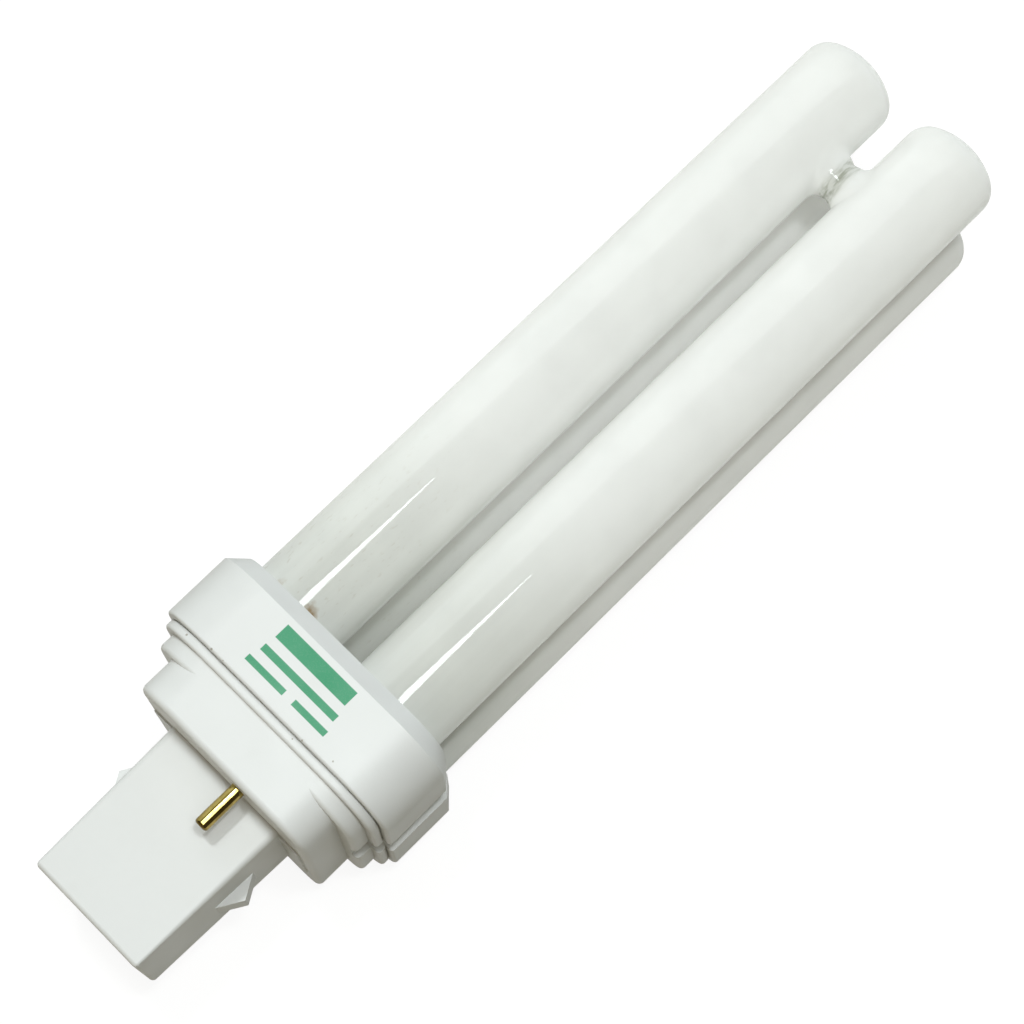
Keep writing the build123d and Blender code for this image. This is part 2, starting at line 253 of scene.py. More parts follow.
@dataclass(frozen=True)
class PhosphorCoatedGlass(Finish):
    """Soda-lime tube with a white powder coat inside: matt white seen under a clear, sharp gloss.

    The coat greys towards the collar, partly as real thinning and partly as painted shade from the collar.
    The left limbs are dusty there, and the front one has brown burn marks. Round each weld the glass is
    bare, drawn grey-green, partly its own tint and partly painted shade seen through the clear glass.
    """

    name: str = "phosphor_coated_glass"
    coat: str = "#FEFEFE"
    foot_coat_and_shade: str = "#F0F1EE"
    dust: str = "#A8977A"
    burn: str = "#9C7420"
    # Grey-green of the bare weld glass, partly its own tint and partly painted shade
    weld: str = "#999D8A"
    passed: str = "#FDFEFB"
    collar_top: float = -34.45
    foot_length: float = 42.0
    dusty_y: Span = (1.0, 5.0)
    burn_height: float = 2.6
    burn_z: Span = (30.0, 32.0)
    burns: tuple[Burn, ...] = (
        Burn(start=4.4, full=7.2, fades=7.7, end=8.5, strength=1.0),
        Burn(start=11.8, full=12.6, fades=13.2, end=14.2, strength=0.55),
    )
    bared: Span = (0.3, 1.9)
    lump_height: float = 0.25
    let_through: float = 0.38
    glass_ior: float = 1.52
    powder_roughness: float = 0.6

    def paint(self, tree: Tree, where: Socket) -> Inputs:
        """Draws the coat and what lies on it.

        Args:
            tree: Tree of the material.
            where: Place on the piece.

        Returns:
            What each input of the Principled shader gets.
        """
        axes = add_node(tree, "ShaderNodeSeparateXYZ", {0: where}).outputs
        foot = add_node(
            tree,
            "ShaderNodeMapRange",
            {
                "Value": axes["X"],
                "From Min": self.collar_top * MM,
                "From Max": (self.collar_top + self.foot_length) * MM,
                **FALLING,
            },
            interpolation_type="SMOOTHSTEP",
        ).outputs[0]
        # Painted shade: the coat is mixed towards a greyer colour near the collar, partly real thinning of
        # the coat and partly shade from the collar
        coat = add_node(
            tree,
            "ShaderNodeMix",
            {0: foot, 6: linear(self.coat), 7: linear(self.foot_coat_and_shade)},
            data_type="RGBA",
        ).outputs[2]
        # Powder coats dry in clouds some 9 mm across
        cloud = add_node(
            tree, "ShaderNodeTexNoise", {"Vector": where, "Scale": per_metre(9), "Detail": 3.0}
        ).outputs["Fac"]
        cloudy = add_node(
            tree, "ShaderNodeMapRange", {"Value": cloud, **NOISE, "To Min": 0.975, "To Max": 1.02}
        ).outputs[0]
        # Wiping leaves dust in lines along the limb, about 1 mm apart and strongest at the foot
        stretched = add_node(
            tree, "ShaderNodeMapping", {"Vector": where, "Scale": (0.05, 1.0, 1.0)}
        ).outputs[0]
        lines = add_node(
            tree, "ShaderNodeTexNoise", {"Vector": stretched, "Scale": per_metre(1.1), "Detail": 2.0}
        ).outputs["Fac"]
        lined = add_node(
            tree, "ShaderNodeMapRange", {"Value": lines, "From Min": 0.4, "From Max": 0.75, "To Max": 0.03}
        ).outputs[0]
        lined = add_node(tree, "ShaderNodeMath", {0: lined, 1: foot}, operation="MULTIPLY").outputs[0]
        clean = add_node(tree, "ShaderNodeMath", {0: cloudy, 1: lined}, operation="SUBTRACT").outputs[0]
        colour = add_node(
            tree, "ShaderNodeVectorMath", {0: coat, "Scale": clean}, operation="SCALE"
        ).outputs[0]

        soot = self.soot_mask(tree, where, axes, foot)
        burnt = self.burn_mask(tree, where, axes)
        # Painted shade: the bare glass at each weld is drawn grey-green, partly its tint and partly the shade
        # seen through clear glass
        bare, lumps = self.weld_masks(tree, where)
        for share, tone in ((soot, self.dust), (burnt, self.burn), (bare, self.weld)):
            colour = add_node(
                tree, "ShaderNodeMix", {0: share, 6: colour, 7: linear(tone)}, data_type="RGBA"
            ).outputs[2]
        gloss = add_node(
            tree, "ShaderNodeMapRange", {"Value": cloud, **NOISE, "To Min": 0.01, "To Max": 0.016}
        ).outputs[0]
        bump = add_node(
            tree, "ShaderNodeBump", {"Height": lumps, "Strength": 1.0, "Distance": self.lump_height * MM}
        ).outputs["Normal"]
        return {
            "Base Color": colour,
            "Roughness": gloss,
            "Normal": bump,
            "IOR": self.glass_ior,
            # The glass keeps its whole gloss, though the coat under it shares the light
            "Specular IOR Level": PLAIN_SPECULAR / (1 - self.let_through),
            # Loose powder throws light back the way it came, so the limbs look flat
            "Diffuse Roughness": self.powder_roughness,
        }

    def surface(self, tree: Tree, shader: Node) -> Socket:
        """Lets part of the light through the thin coat, into the hollow limb and out again.

        Args:
            tree: Tree of the material.
            shader: Its painted Principled shader.

        Returns:
            The thin coat's surface.
        """
        coat = shader.inputs["Base Color"].links[0].from_socket
        colour = add_node(
            tree, "ShaderNodeVectorMath", {0: coat, 1: linear(self.passed)[:3]}, operation="MULTIPLY"
        ).outputs[0]
        through = add_node(tree, "ShaderNodeBsdfTranslucent", {"Color": colour}).outputs[0]
        return add_node(
            tree, "ShaderNodeMixShader", {0: self.let_through, 1: shader.outputs["BSDF"], 2: through}
        ).outputs[0]

    def weld_masks(self, tree: Tree, where: Socket) -> tuple[Socket, Socket]:
        """Bares and lumps the glass round each weld, where the flame burnt the coat off.
        The bare glass is drawn grey-green, partly its own tint and partly painted shade seen through it.

        Args:
            tree: Tree of the material.
            where: Place on the piece.

        Returns:
            How much of the bare glass shows, and how high its lumps stand.
        """
        away = add_node(tree, "ShaderNodeAttribute", attribute_name=FROM_WELD).outputs["Fac"]
        near = add_node(
            tree,
            "ShaderNodeMapRange",
            {"Value": away, "From Min": self.bared[0] * MM, "From Max": self.bared[1] * MM, **FALLING},
            interpolation_type="SMOOTHSTEP",
        ).outputs[0]
        # Creases run round the neck some 0.5 mm apart
        stretched = add_node(
            tree, "ShaderNodeMapping", {"Vector": where, "Scale": (0.2, 1.0, 0.4)}
        ).outputs[0]
        crease = add_node(
            tree, "ShaderNodeTexNoise", {"Vector": stretched, "Scale": per_metre(0.5), "Detail": 2.0}
        ).outputs["Fac"]
        lines = add_node(
            tree,
            "ShaderNodeMapRange",
            {"Value": crease, "From Min": 0.38, "From Max": 0.66, "To Min": 0.25, "To Max": 0.75},
        ).outputs[0]
        # Melted glass sets in lumps about 1.5 mm across
        lump = add_node(
            tree, "ShaderNodeTexNoise", {"Vector": where, "Scale": per_metre(1.5), "Detail": 0.0}
        ).outputs["Fac"]
        bare, lumps = (
            add_node(tree, "ShaderNodeMath", {0: near, 1: pattern}, operation="MULTIPLY").outputs[0]
            for pattern in (lines, lump)
        )
        return bare, lumps

    def soot_mask(self, tree: Tree, where: Socket, axes: Axes, foot: Socket) -> Socket:
        """Scatters specks of dust over the left limbs' feet.

        Args:
            tree: Tree of the material.
            where: Place on the piece.
            axes: The place's X, Y and Z.
            foot: One at the collar, falling to nothing up the limb.

        Returns:
            How much of the dust colour shows.
        """
        # Real specks are 0.1 mm or less, wiped along the limb, drawn about 0.25 mm wide so that they show
        wiped = add_node(tree, "ShaderNodeMapping", {"Vector": where, "Scale": (0.4, 1.0, 1.0)}).outputs[0]
        grit = add_node(
            tree, "ShaderNodeTexNoise", {"Vector": wiped, "Scale": per_metre(0.55), "Detail": 1.0}
        ).outputs["Fac"]
        specks = add_node(
            tree, "ShaderNodeMapRange", {"Value": grit, "From Min": 0.64, "From Max": 0.78, "To Max": 0.2}
        ).outputs[0]
        start, full = self.dusty_y
        left = add_node(
            tree, "ShaderNodeMapRange", {"Value": axes["Y"], "From Min": start * MM, "From Max": full * MM}
        ).outputs[0]
        for share in (foot, left):
            specks = add_node(tree, "ShaderNodeMath", {0: specks, 1: share}, operation="MULTIPLY").outputs[0]
        return specks

    def burn_mask(self, tree: Tree, where: Socket, axes: Axes) -> Socket:
        """Draws the brown burn marks at the front left limb's foot.

        Args:
            tree: Tree of the material.
            where: Place on the piece.
            axes: The place's X, Y and Z.

        Returns:
            How much of the burn colour shows.
        """
        # The marks run some 2 mm up the limb from the collar's edge
        area: Socket | float = 0.0
        for mark in self.burns:
            share: Socket | float = 1.0
            for axis, start, end, before, after in (
                ("X", self.collar_top, self.collar_top + self.burn_height, 1.0, 0.0),
                ("Y", mark.start, mark.full, 0.0, mark.strength),
                ("Y", mark.fades, mark.end, 1.0, 0.0),
                ("Z", *self.burn_z, 0.0, 1.0),
            ):
                ramp = add_node(
                    tree,
                    "ShaderNodeMapRange",
                    {
                        "Value": axes[axis],
                        "From Min": start * MM,
                        "From Max": end * MM,
                        "To Min": before,
                        "To Max": after,
                    },
                ).outputs[0]
                share = add_node(tree, "ShaderNodeMath", {0: share, 1: ramp}, operation="MULTIPLY").outputs[0]
            area = add_node(tree, "ShaderNodeMath", {0: area, 1: share}, operation="MAXIMUM").outputs[0]
        # Scorching is blotchy, in patches about 1.2 mm across
        blotch = add_node(
            tree, "ShaderNodeTexNoise", {"Vector": where, "Scale": per_metre(1.2), "Detail": 4.0}
        ).outputs["Fac"]
        ragged = add_node(tree, "ShaderNodeMath", {0: area, 1: blotch}, operation="MULTIPLY").outputs[0]
        return add_node(
            tree, "ShaderNodeMapRange", {"Value": ragged, "From Min": 0.14, "From Max": 0.5, "To Max": 0.85}
        ).outputs[0]


@dataclass(frozen=True)
class ClearSodaGlass(Finish):
    """Clear soda-lime glass, flame worked: bright edges, a green cast and slightly wavy walls."""

    name: str = "clear_soda_glass"
    tint: str = "#E3F0E6"
    wave_mm: float = 1.6
    wave_height: float = 0.12
    glass_ior: float = 1.52

    def paint(self, tree: Tree, where: Socket) -> Inputs:
        """Draws the waves in the wall.

        Args:
            tree: Tree of the material.
            where: Place on the piece.

        Returns:
            What each input of the Principled shader gets.
        """
        # Flame work leaves the wall wavy, with ripples some 1.6 mm apart that run along the lamp
        stretched = add_node(
            tree, "ShaderNodeMapping", {"Vector": where, "Scale": (0.35, 1.0, 0.6)}
        ).outputs[0]
        wave = add_node(
            tree,
            "ShaderNodeTexNoise",
            {"Vector": stretched, "Scale": per_metre(self.wave_mm), "Detail": 1.0},
        ).outputs["Fac"]
        bump = add_node(
            tree, "ShaderNodeBump", {"Height": wave, "Strength": 0.5, "Distance": self.wave_height * MM}
        ).outputs["Normal"]
        haze = add_node(
            tree, "ShaderNodeMapRange", {"Value": wave, **NOISE, "To Min": 0.01, "To Max": 0.05}
        ).outputs[0]
        return {
            "Base Color": linear(self.tint),
            "Roughness": haze,
            "Normal": bump,
            "IOR": self.glass_ior,
            "Transmission Weight": 1.0,
        }


@dataclass(frozen=True)
class Bar:
    """A plain printed bar on the collar's front: middle, length and height."""

    x: float
    y: float
    length: float
    height: float


@dataclass(frozen=True)
class Speck:
    """A grain of dirt on the front: place and radius."""

    x: float
    y: float
    radius: float


@dataclass(frozen=True)
class SatinPolyester(Finish):
    """White glass-filled polyester, moulded in a spark-eroded tool: even, satin and faintly grained.

    Its joint lines are darkened, partly by dirt and partly as painted shade, and a front face may carry
    printed bars.
    """

    name: str = "satin_polyester"
    resin: str = "#DDDEDE"
    # Colour of the dirt, and of the painted shade in the joint lines
    dirt_and_shade: str = "#857B69"
    ink: str = "#048E5F"
    front_z: float = 44.3
    joints: tuple[float, ...] = ()
    joint_dirt_and_shade: Span = (0.05, 0.3)
    bars: tuple[Bar, ...] = ()
    ink_edge: float = 0.05
    specks: tuple[Speck, ...] = ()
    speck_fade: float = 1.6
    grain_height: float = 0.02
    resin_ior: float = 1.5

    def paint(self, tree: Tree, where: Socket) -> Inputs:
        """Draws the moulded skin, its dirt and its print.

        Args:
            tree: Tree of the material.
            where: Place on the piece.

        Returns:
            What each input of the Principled shader gets.
        """
        axes = add_node(tree, "ShaderNodeSeparateXYZ", {0: where}).outputs
        # Resin flow gives soft clouds about 6 mm across
        cloud = add_node(
            tree, "ShaderNodeTexNoise", {"Vector": where, "Scale": per_metre(6), "Detail": 3.0}
        ).outputs["Fac"]
        # Eroded grain is about 0.05 mm, drawn 0.22 mm so that it shows
        grain = add_node(
            tree, "ShaderNodeTexNoise", {"Vector": where, "Scale": per_metre(0.22), "Detail": 2.0}
        ).outputs["Fac"]
        shade = add_node(
            tree, "ShaderNodeMapRange", {"Value": cloud, **NOISE, "To Min": 0.975, "To Max": 1.015}
        ).outputs[0]
        colour = add_node(
            tree, "ShaderNodeVectorMath", {0: linear(self.resin)[:3], "Scale": shade}, operation="SCALE"
        ).outputs[0]
        layers = [(self.soil_and_shade_mask(tree, where, axes, grain, cloud), self.dirt_and_shade)]
        if self.bars:
            layers.append((self.print_mask(tree, axes, grain), self.ink))
        for share, tone in layers:
            colour = add_node(
                tree, "ShaderNodeMix", {0: share, 6: colour, 7: linear(tone)}, data_type="RGBA"
            ).outputs[2]
        satin = add_node(
            tree, "ShaderNodeMapRange", {"Value": cloud, **NOISE, "To Min": 0.42, "To Max": 0.52}
        ).outputs[0]
        bump = add_node(
            tree, "ShaderNodeBump", {"Height": grain, "Strength": 0.25, "Distance": self.grain_height * MM}
        ).outputs["Normal"]
        return {"Base Color": colour, "Roughness": satin, "Normal": bump, "IOR": self.resin_ior}

    def soil_and_shade_mask(self, tree: Tree, where: Socket, axes: Axes, grain: Socket, cloud: Socket) -> Socket:
        """Darkens the joint lines with dirt and painted shade, and gathers dirt at the specks.

        Args:
            tree: Tree of the material.
            where: Place on the piece.
            axes: The place's X, Y and Z.
            grain: Fine pattern that breaks the edges up.
            cloud: Coarse pattern that varies the amount.

        Returns:
            How much of the dirt and shade colour shows.
        """
        soil_and_shade = add_node(
            tree, "ShaderNodeMapRange", {"Value": cloud, "From Min": 0.62, "From Max": 0.8, "To Max": 0.04}
        ).outputs[0]
        full, gone = self.joint_dirt_and_shade
        # Painted shade with dirt: a thin darker band along each joint line, where the parts meet
        for joint in self.joints:
            off = add_node(
                tree, "ShaderNodeMath", {0: axes["X"], 1: joint * MM}, operation="SUBTRACT"
            ).outputs[0]
            off = add_node(tree, "ShaderNodeMath", {0: off}, operation="ABSOLUTE").outputs[0]
            band = add_node(
                tree,
                "ShaderNodeMapRange",
                {"Value": off, "From Min": full * MM, "From Max": gone * MM, "To Min": 0.45, "To Max": 0.0},
            ).outputs[0]
            band = add_node(tree, "ShaderNodeMath", {0: band, 1: cloud}, operation="MULTIPLY").outputs[0]
            soil_and_shade = add_node(tree, "ShaderNodeMath", {0: soil_and_shade, 1: band}, operation="MAXIMUM").outputs[0]
        flat = add_node(
            tree, "ShaderNodeVectorMath", {0: where, 1: (1, 1, 0)}, operation="MULTIPLY"
        ).outputs[0]
        for speck in self.specks:
            radius = speck.radius * MM
            off = add_node(
                tree,
                "ShaderNodeVectorMath",
                {0: flat, 1: (speck.x * MM, speck.y * MM, 0)},
                operation="DISTANCE",
            ).outputs["Value"]
            rough = add_node(tree, "ShaderNodeMath", {0: grain, 1: radius}, operation="MULTIPLY").outputs[0]
            off = add_node(tree, "ShaderNodeMath", {0: off, 1: rough}, operation="ADD").outputs[0]
            spot = add_node(
                tree,
                "ShaderNodeMapRange",
                {
                    "Value": off,
                    "From Min": radius,
                    "From Max": self.speck_fade * radius,
                    "To Min": 0.7,
                    "To Max": 0.0,
                },
            ).outputs[0]
            soil_and_shade = add_node(tree, "ShaderNodeMath", {0: soil_and_shade, 1: spot}, operation="MAXIMUM").outputs[0]
        return soil_and_shade

    def print_mask(self, tree: Tree, axes: Axes, grain: Socket) -> Socket:
        """Prints the bars on the front face, with slightly ragged ink.

        Args:
            tree: Tree of the material.
            axes: Place on the piece, as X, Y and Z.
            grain: Fine pattern that thins the ink.

        Returns:
            How much of the ink shows.
        """
        ink = add_node(
            tree,
            "ShaderNodeMapRange",
            {"Value": grain, "From Min": 0.25, "From Max": 0.5, "To Min": 0.95, "To Max": 0.99},
        ).outputs[0]
        front = add_node(
            tree, "ShaderNodeMath", {0: axes["Z"], 1: self.front_z * MM}, operation="GREATER_THAN"
        ).outputs[0]
        ink = add_node(tree, "ShaderNodeMath", {0: ink, 1: front}, operation="MULTIPLY").outputs[0]
        printed: Socket | float = 0.0
        for bar in self.bars:
            block: Socket | float = 1.0
            for axis, middle, span in (("X", bar.x, bar.height), ("Y", bar.y, bar.length)):
                off = add_node(
                    tree, "ShaderNodeMath", {0: axes[axis], 1: middle * MM}, operation="SUBTRACT"
                ).outputs[0]
                off = add_node(tree, "ShaderNodeMath", {0: off}, operation="ABSOLUTE").outputs[0]
                side = add_node(
                    tree,
                    "ShaderNodeMapRange",
                    {
                        "Value": off,
                        "From Min": (span / 2 - self.ink_edge) * MM,
                        "From Max": (span / 2 + self.ink_edge) * MM,
                        **FALLING,
                    },
                ).outputs[0]
                block = add_node(tree, "ShaderNodeMath", {0: block, 1: side}, operation="MULTIPLY").outputs[0]
            printed = add_node(
                tree, "ShaderNodeMath", {0: printed, 1: block}, operation="MAXIMUM"
            ).outputs[0]
        return add_node(tree, "ShaderNodeMath", {0: ink, 1: printed}, operation="MULTIPLY").outputs[0]


@dataclass(frozen=True)
class DrawnBrass(Finish):
    """Drawn brass, handled and a little tarnished: olive gold with fine lines along it and a dark tip."""

    name: str = "drawn_brass"
    metal: str = "#AE9B5A"
    tarnish: str = "#574519"
    tip_x: float = -65.75
    tip_length: float = 0.7
    tip_share: float = 0.35
    line_height: float = 0.01

    def paint(self, tree: Tree, where: Socket) -> Inputs:
        """Draws the die lines, the tarnish and a darker tip.

        Args:
            tree: Tree of the material.
            where: Place on the piece.

        Returns:
            What each input of the Principled shader gets.
        """
        axes = add_node(tree, "ShaderNodeSeparateXYZ", {0: where}).outputs
        # Die lines are a few hundredths of a millimetre, drawn 0.12 mm so that they show
        stretched = add_node(
            tree, "ShaderNodeMapping", {"Vector": where, "Scale": (0.03, 1.0, 1.0)}
        ).outputs[0]
        lines = add_node(
            tree, "ShaderNodeTexNoise", {"Vector": stretched, "Scale": per_metre(0.12), "Detail": 2.0}
        ).outputs["Fac"]
        # Tarnish spreads in blotches about 1.5 mm across
        blotch = add_node(
            tree, "ShaderNodeTexNoise", {"Vector": where, "Scale": per_metre(1.5), "Detail": 4.0}
        ).outputs["Fac"]
        # Darker towards the tip over its last 0.7 mm, in the tarnish colour
        tip = add_node(
            tree,
            "ShaderNodeMapRange",
            {
                "Value": axes["X"],
                "From Min": (self.tip_x + self.tip_share * self.tip_length) * MM,
                "From Max": (self.tip_x + self.tip_length) * MM,
                "To Min": 0.8,
                "To Max": 0.0,
            },
        ).outputs[0]
        aged = add_node(
            tree, "ShaderNodeMapRange", {"Value": blotch, "From Min": 0.35, "From Max": 0.75, "To Max": 0.75}
        ).outputs[0]
        aged = add_node(tree, "ShaderNodeMath", {0: aged, 1: tip}, operation="MAXIMUM").outputs[0]
        colour = add_node(
            tree,
            "ShaderNodeMix",
            {0: aged, 6: linear(self.metal), 7: linear(self.tarnish)},
            data_type="RGBA",
        ).outputs[2]
        rough = add_node(
            tree, "ShaderNodeMapRange", {"Value": lines, **NOISE, "To Min": 0.06, "To Max": 0.1}
        ).outputs[0]
        bump = add_node(
            tree, "ShaderNodeBump", {"Height": lines, "Strength": 0.08, "Distance": self.line_height * MM}
        ).outputs["Normal"]
        return {"Base Color": colour, "Roughness": rough, "Normal": bump, "Metallic": 1.0}


@dataclass(frozen=True)
class DippedEpoxy(Finish):
    """Epoxy that a capacitor is dipped in: glossy ochre with a soft orange-peel skin."""

    name: str = "dipped_epoxy"
    skin: str = "#C08A3C"
    shade: str = "#8F5F22"
    peel_height: float = 0.03
    roughness: float = 0.25
    epoxy_ior: float = 1.55

    def paint(self, tree: Tree, where: Socket) -> Inputs:
        """Draws the orange peel.

        Args:
            tree: Tree of the material.
            where: Place on the piece.

        Returns:
            What each input of the Principled shader gets.
        """
        # Orange peel is about 0.8 mm across
        peel = add_node(
            tree, "ShaderNodeTexNoise", {"Vector": where, "Scale": per_metre(0.8), "Detail": 2.0}
        ).outputs["Fac"]
        colour = add_node(
            tree, "ShaderNodeMix", {0: peel, 6: linear(self.skin), 7: linear(self.shade)}, data_type="RGBA"
        ).outputs[2]
        bump = add_node(
            tree, "ShaderNodeBump", {"Height": peel, "Strength": 0.3, "Distance": self.peel_height * MM}
        ).outputs["Normal"]
        return {"Base Color": colour, "Roughness": self.roughness, "Normal": bump, "IOR": self.epoxy_ior}


@dataclass(frozen=True)
class TinnedCopper(Finish):
    """Copper wire with a dull tin coat: grey and faintly warm where the tin is thin."""

    name: str = "tinned_copper"
    tin: str = "#B9B8B2"
    bare: str = "#B48A64"

    def paint(self, tree: Tree, where: Socket) -> Inputs:
        """Draws the thin spots in the tin.

        Args:
            tree: Tree of the material.
            where: Place on the piece.

        Returns:
            What each input of the Principled shader gets.
        """
        # Thin spots in the tin are about 0.6 mm across
        thin = add_node(
            tree, "ShaderNodeTexNoise", {"Vector": where, "Scale": per_metre(0.6), "Detail": 3.0}
        ).outputs["Fac"]
        share = add_node(
            tree, "ShaderNodeMapRange", {"Value": thin, "From Min": 0.5, "From Max": 0.8, "To Max": 0.6}
        ).outputs[0]
        colour = add_node(
            tree, "ShaderNodeMix", {0: share, 6: linear(self.tin), 7: linear(self.bare)}, data_type="RGBA"
        ).outputs[2]
        rough = add_node(
            tree, "ShaderNodeMapRange", {"Value": thin, **NOISE, "To Min": 0.3, "To Max": 0.45}
        ).outputs[0]
        return {"Base Color": colour, "Roughness": rough, "Metallic": 1.0}


@dataclass(frozen=True)
class Bridge:
    """A bridge fused between two limbs; in metres."""

    middle: Vector
    run: Run
    half_pitch: float
    slack: float = 0.1 * MM

    def leaves(self, axis: Vector) -> bool:
        """Returns whether the bridge ends at the limb with this axis."""
        off = (axis - self.middle) * Vector((0, 1, 1))
        return (
            abs(off.length - self.half_pitch) < self.slack
            and abs(off.dot(self.run.value)) > 0.5 * self.half_pitch
        )

    def direction(self, axis: Vector) -> Vector:
        """Returns the way from a limb's axis to the weld."""
        return self.run.value if (self.middle - axis).dot(self.run.value) > 0 else -self.run.value


@dataclass
class DischargeTube:
    """Four coated limbs whose walls are drawn out and fused at three bridges; sizes in millimetres."""

    limb_radius: float = 8.0
    limb_y: float = 10.05
    limb_z: float = 11.5
    axis_height: float = 22.25
    foot_x: float = -44.45
    end_x: float = 85.45
    front_left_short: float = 0.5
    rear_left_short: float = 3.4
    rear_right_short: float = 0.4
    crown_radius: float = 12.0
    end_rounding: float = 3.2
    bridge_radius: float = 3.55
    bridge_flare: float = 1.4
    weld_dip: float = 0.25
    weld_half_width: float = 0.45
    top_bridge_x: float = 68.55
    low_bridge_x: float = -24.45
    drawn_half_length: float = 6.5
    drawn_margin: float = 0.5
    drawn_rows: int = 36
    limb_steps: int = 128
    arc_steps: int = 8
    node: str = "discharge_tube"
    slot: str = "coated_glass"
    coat: Finish = PhosphorCoatedGlass()

    def build(self) -> list[Piece]:
        """Builds the tube in place of its CAD node.

        Returns:
            The tube.
        """
        tube = add_piece("fused_tube", self.tube_shape(), self.coat.material())
        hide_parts(self.node)
        return [tube]

    def arc(self, shape: Shape, start: Vert, centre: Vector, axis: Vector, angle: float) -> Vert:
        """Draws an arc of edges on from a vertex.

        Args:
            shape: Mesh that takes the arc.
            start: Vertex that the arc starts at.
            centre: Centre of the arc.
            axis: Axis that it turns about.
            angle: Angle that it turns through, in radians.

        Returns:
            The vertex at the arc's end.
        """
        turned = bmesh.ops.spin(
            shape, geom=[start], cent=centre, axis=axis, angle=angle, steps=self.arc_steps, use_merge=False
        )
        return next(part for part in turned["geom_last"] if isinstance(part, Vert))

    def straight(self, shape: Shape, start: Vert, to_x: float, rows: int = 1) -> Vert:
        """Draws a straight run along the limb on from a vertex.

        Args:
            shape: Mesh that takes the run.
            start: Vertex that the run starts at.
            to_x: Where the run ends along the limb.
            rows: How many edges it is split into.

        Returns:
            The vertex at the run's end.
        """
        step = Vector(((to_x - start.co.x) / rows, 0, 0))
        for _ in range(rows):
            start = bmesh.ops.extrude_vert_indiv(shape, verts=[start])["verts"][0]
            bmesh.ops.translate(shape, vec=step, verts=[start])
        return start

    def limb_shape(self) -> Shape:
        """Spins one domed limb along X, with close rows where bridges are drawn out of it.

        Returns:
            The limb, its axis on the X axis.
        """
        shape = bmesh.new()
        crown, rounding = self.crown_radius * MM, self.end_rounding * MM
        radius = self.limb_radius * MM
        reach = math.sqrt((crown - rounding) ** 2 - (radius - rounding) ** 2)
        crown_angle = math.atan2(radius - rounding, reach)
        back = Vector((0, -1, 0))
        tip = Vector((self.end_x * MM - crown, 0, 0))
        foot = Vector((self.foot_x * MM + crown, 0, 0))
        knuckle = Vector((reach, 0, radius - rounding))
        heel = Vector((-reach, 0, radius - rounding))
        point = bmesh.ops.create_vert(shape, co=tip + Vector((crown, 0, 0)))["vert"][0]
        point = self.arc(shape, point, tip, back, crown_angle)
        point = self.arc(shape, point, tip + knuckle, back, math.pi / 2 - crown_angle)
        for middle in (self.top_bridge_x, self.low_bridge_x):
            point = self.straight(shape, point, (middle + self.drawn_half_length) * MM)
            point = self.straight(shape, point, (middle - self.drawn_half_length) * MM, self.drawn_rows)
        point = self.straight(shape, point, foot.x - reach)
        point = self.arc(shape, point, foot + heel, back, math.pi / 2 - crown_angle)
        self.arc(shape, point, foot, back, crown_angle)
        bmesh.ops.spin(
            shape,
            geom=shape.verts[:] + shape.edges[:],
            cent=(0, 0, 0),
            axis=(1, 0, 0),
            angle=math.tau,
            steps=self.limb_steps,
            use_merge=True,
        )
        bmesh.ops.remove_doubles(shape, verts=shape.verts[:], dist=SEAM_GAP)
        return shape

    def bridges(self) -> list[Bridge]:
        """Returns the front, rear and low bridges."""
        front, rear = self.axis_height + self.limb_z, self.axis_height - self.limb_z
        low = Vector((self.low_bridge_x, self.limb_y, self.axis_height))
        return [
            Bridge(Vector((self.top_bridge_x, 0, front)) * MM, Run.ACROSS, self.limb_y * MM),
            Bridge(Vector((self.top_bridge_x, 0, rear)) * MM, Run.ACROSS, self.limb_y * MM),
            Bridge(low * MM, Run.DEEP, self.limb_z * MM),
        ]

    def tube_shape(self) -> Shape:
        """Sets four limbs at the corners, draws their walls together and fuses them.

        Returns:
            The whole tube in one closed mesh.
        """
        shape = self.limb_shape()
        limbs = [shape.verts[:] + shape.edges[:] + shape.faces[:]]
        limbs += [bmesh.ops.duplicate(shape, geom=limbs[0])["geom"] for _ in range(3)]
        corners = (
            (self.limb_y, self.limb_z, self.front_left_short),
            (-self.limb_y, self.limb_z, 0.0),
            (self.limb_y, -self.limb_z, self.rear_left_short),
            (-self.limb_y, -self.limb_z, self.rear_right_short),
        )
        # A shorter limb loses its length beyond the rows that its bridge is drawn out of
        end_from = (self.top_bridge_x + self.drawn_half_length + self.drawn_margin) * MM
        for limb, (y, z, short) in zip(limbs, corners):
            verts = [part for part in limb if isinstance(part, Vert)]
            end = [vert for vert in verts if vert.co.x > end_from]
            bmesh.ops.translate(shape, vec=(-short * MM, 0, 0), verts=end)
            axis = Vector((0, y, self.axis_height + z)) * MM
            bmesh.ops.translate(shape, vec=axis, verts=verts)
            for bridge in self.bridges():
                if bridge.leaves(axis):
                    limb = self.draw_out(shape, limb, axis, bridge)
        bmesh.ops.remove_doubles(shape, verts=shape.verts[:], dist=WELD_GAP)
        bmesh.ops.recalc_face_normals(shape, faces=shape.faces[:])
        self.mark_welds(shape)
        return shape

